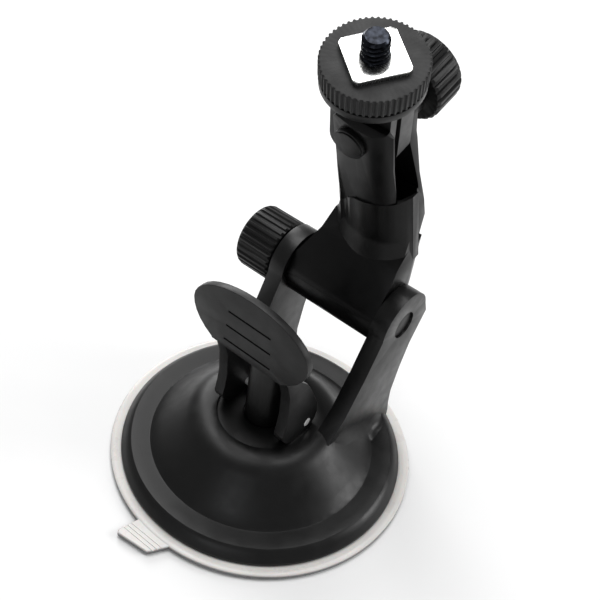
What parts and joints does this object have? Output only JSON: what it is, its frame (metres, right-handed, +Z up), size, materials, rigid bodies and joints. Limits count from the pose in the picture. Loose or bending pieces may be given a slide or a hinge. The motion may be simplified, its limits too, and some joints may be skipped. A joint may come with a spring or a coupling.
{
  "type": "suction cup camera mount",
  "caption": "Suction-cup windscreen mount: lock lever, forked base, two clamped hinges and a tilting head with a camera screw.",
  "frame": {"origin": "middle of the suction pad's underside", "axes": "+Z up from the pad, X along the lower hinge, +Y to the back, away from the lock lever"},
  "size_m": [0.084, 0.0997, 0.1251],
  "materials": {
    "black_plastic": "fine satin moulding",
    "grey_plastic": "satin moulding",
    "soft_pad": "milky soft plastic",
    "zinc_steel": "bright zinc",
    "black_steel": "black oxide",
    "brass": "machined"
  },
  "bodies": {
    "base": {"suction_pad": "soft_pad", "base_shell": "grey_plastic", "wear_plate": "black_plastic", "stem_spring": "zinc_steel", "lower_bolt": "zinc_steel"},
    "stem": {"lift_stem": "black_plastic"},
    "lock_lever": {"lever": "black_plastic", "lever_pin": "zinc_steel"},
    "lower_washer_slide": {"lower_washer": "black_plastic"},
    "lower_clamp_knob": {"lower_knob": "black_plastic", "lower_knob_nut": "brass"},
    "arm": {"middle_arm": "grey_plastic", "upper_bolt": "black_steel"},
    "upper_washer_slide": {"upper_washer": "black_plastic"},
    "upper_clamp_knob": {"upper_knob": "black_plastic", "upper_knob_nut": "brass"},
    "head": {"tilt_head": "black_plastic"},
    "screw_wheel": {"thumbwheel": "grey_plastic", "square_plate": "zinc_steel", "camera_screw": "black_steel", "screw_clip": "zinc_steel"}
  },
  "joints": [
    {"name": "stem_lift", "type": "slide", "parent": "base", "child": "stem", "axis": [0, 0, 1], "range_m": [0, 0.0065], "deforming": ["stem_spring"]},
    {"name": "lever_turn", "type": "hinge", "parent": "stem", "child": "lock_lever", "pos_m": [0, 0.003, 0.0187], "axis": [1, 0, 0], "range_deg": [0, 75]},
    {"name": "arm_tilt", "type": "hinge", "parent": "base", "child": "arm", "pos_m": [0, 0.0304, 0.0415], "axis": [1, 0, 0], "range_deg": [-85, 40]},
    {"name": "lower_knob_travel", "type": "slide", "parent": "base", "child": "lower_washer_slide", "axis": [-1, 0, 0], "range_m": [0, 0.0008]},
    {"name": "lower_knob_turn", "type": "hinge", "parent": "lower_washer_slide", "child": "lower_clamp_knob", "pos_m": [0, 0.0304, 0.0415], "axis": [-1, 0, 0], "range_deg": [0, 360]},
    {"name": "head_tilt", "type": "hinge", "parent": "arm", "child": "head", "pos_m": [0, 0.0267, 0.097], "axis": [0, 0.9494, 0.314], "range_deg": [-85, 75]},
    {"name": "upper_knob_travel", "type": "slide", "parent": "arm", "child": "upper_washer_slide", "axis": [0, 0.9494, 0.314], "range_m": [0, 0.0008]},
    {"name": "upper_knob_turn", "type": "hinge", "parent": "upper_washer_slide", "child": "upper_clamp_knob", "pos_m": [0, 0.0267, 0.097], "axis": [0, 0.9494, 0.314], "range_deg": [0, 360]},
    {"name": "wheel_turn", "type": "hinge", "parent": "head", "child": "screw_wheel", "pos_m": [0, 0.0267, 0.097], "axis": [0.108, -0.3122, 0.9439], "continuous": true}
  ],
  "couplings": [
    {"joint": "stem_lift", "follows": "lever_turn", "m_per_rad": 0.0049656},
    {"joint": "lower_knob_travel", "follows": "lower_knob_turn", "m_per_rad": 0.00012732},
    {"joint": "upper_knob_travel", "follows": "upper_knob_turn", "m_per_rad": 0.00012732}
  ]
}
